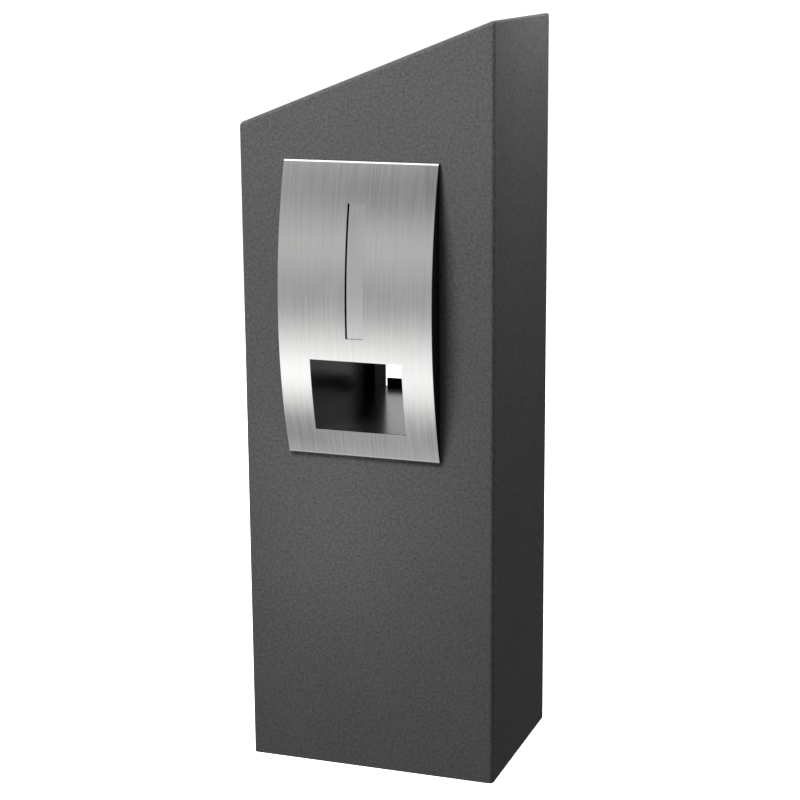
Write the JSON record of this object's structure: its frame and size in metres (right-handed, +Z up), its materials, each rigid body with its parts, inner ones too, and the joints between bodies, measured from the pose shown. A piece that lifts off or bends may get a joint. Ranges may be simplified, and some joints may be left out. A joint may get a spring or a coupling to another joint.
{
  "type": "pillar letterbox",
  "caption": "Free-standing hollow cast pillar letterbox with a sloping top, a bowed brushed stainless front with a sprung mail slot and newspaper opening, and a lockable rear door.",
  "frame": {"origin": "on the ground, at the centre of the four anchor holes in the base angles", "axes": "+X to the high side of the sloping top, which is on the right seen from the street, -Y towards the street, +Z up"},
  "size_m": [0.465, 0.4041, 1.3468],
  "materials": {
    "render": "fine sand-textured dark grey cement render",
    "stainless": "vertically brushed stainless sheet",
    "black_sheet": "gloss black powder coat",
    "galvanised": "hot-dip galvanised",
    "zinc": "bright zinc plated",
    "rubber": "black closed-cell foam and rubber",
    "lock_chrome": "polished chrome",
    "nylon": "grey nylon",
    "stainless_fasteners": "satin stainless"
  },
  "bodies": {
    "root": {"pillar_shell": "render", "base_angle_left": "galvanised", "base_angle_right": "galvanised", "base_bolts": "zinc", "base_washers": "zinc", "wall_inserts": "zinc", "box_side_left": "black_sheet", "box_side_right": "black_sheet", "box_top": "black_sheet", "mail_shelf": "black_sheet", "newspaper_floor": "black_sheet", "newspaper_tray": "black_sheet", "box_rivets": "black_sheet", "front_gasket": "rubber", "rear_gasket": "rubber", "fascia_plate": "stainless", "fascia_frame": "black_sheet", "fascia_studs": "stainless_fasteners", "fascia_nuts": "stainless_fasteners", "front_screws": "stainless_fasteners", "wall_plugs": "nylon", "flap_brackets": "stainless_fasteners", "flap_pin": "stainless_fasteners", "flap_clips": "stainless_fasteners", "flap_spring": "stainless_fasteners", "rear_frame": "stainless", "rear_screws": "stainless_fasteners", "rear_rivet_nuts": "zinc", "hinge_frame_leaves": "stainless_fasteners", "hinge_pins": "stainless_fasteners", "hinge_rivets": "stainless_fasteners"},
    "flap": {"slot_flap": "stainless"},
    "door": {"mail_door": "stainless", "door_seal": "rubber", "hinge_door_leaves": "stainless_fasteners", "lock_barrel": "lock_chrome", "lock_nut": "zinc"},
    "lock": {"lock_plug": "lock_chrome", "lock_cam": "zinc", "lock_screw": "zinc"}
  },
  "joints": [
    {"name": "flap_hinge", "type": "hinge", "parent": "root", "child": "flap", "pos_m": [0.0205, -0.19794, 0.92311], "axis": [0, -0.088, -0.9961], "range_deg": [0, 55], "stiffness_Nm_per_rad": 0.1, "springref_deg": -34.38, "deforming": ["flap_spring"]},
    {"name": "door_hinge", "type": "hinge", "parent": "root", "child": "door", "pos_m": [0.108, 0.1785, 0.93], "axis": [0, 0, -1], "range_deg": [0, 110]},
    {"name": "lock_turn", "type": "hinge", "parent": "door", "child": "lock", "pos_m": [-0.079, 0.175, 0.93], "axis": [0, 1, 0], "range_deg": [0, 90]}
  ]
}
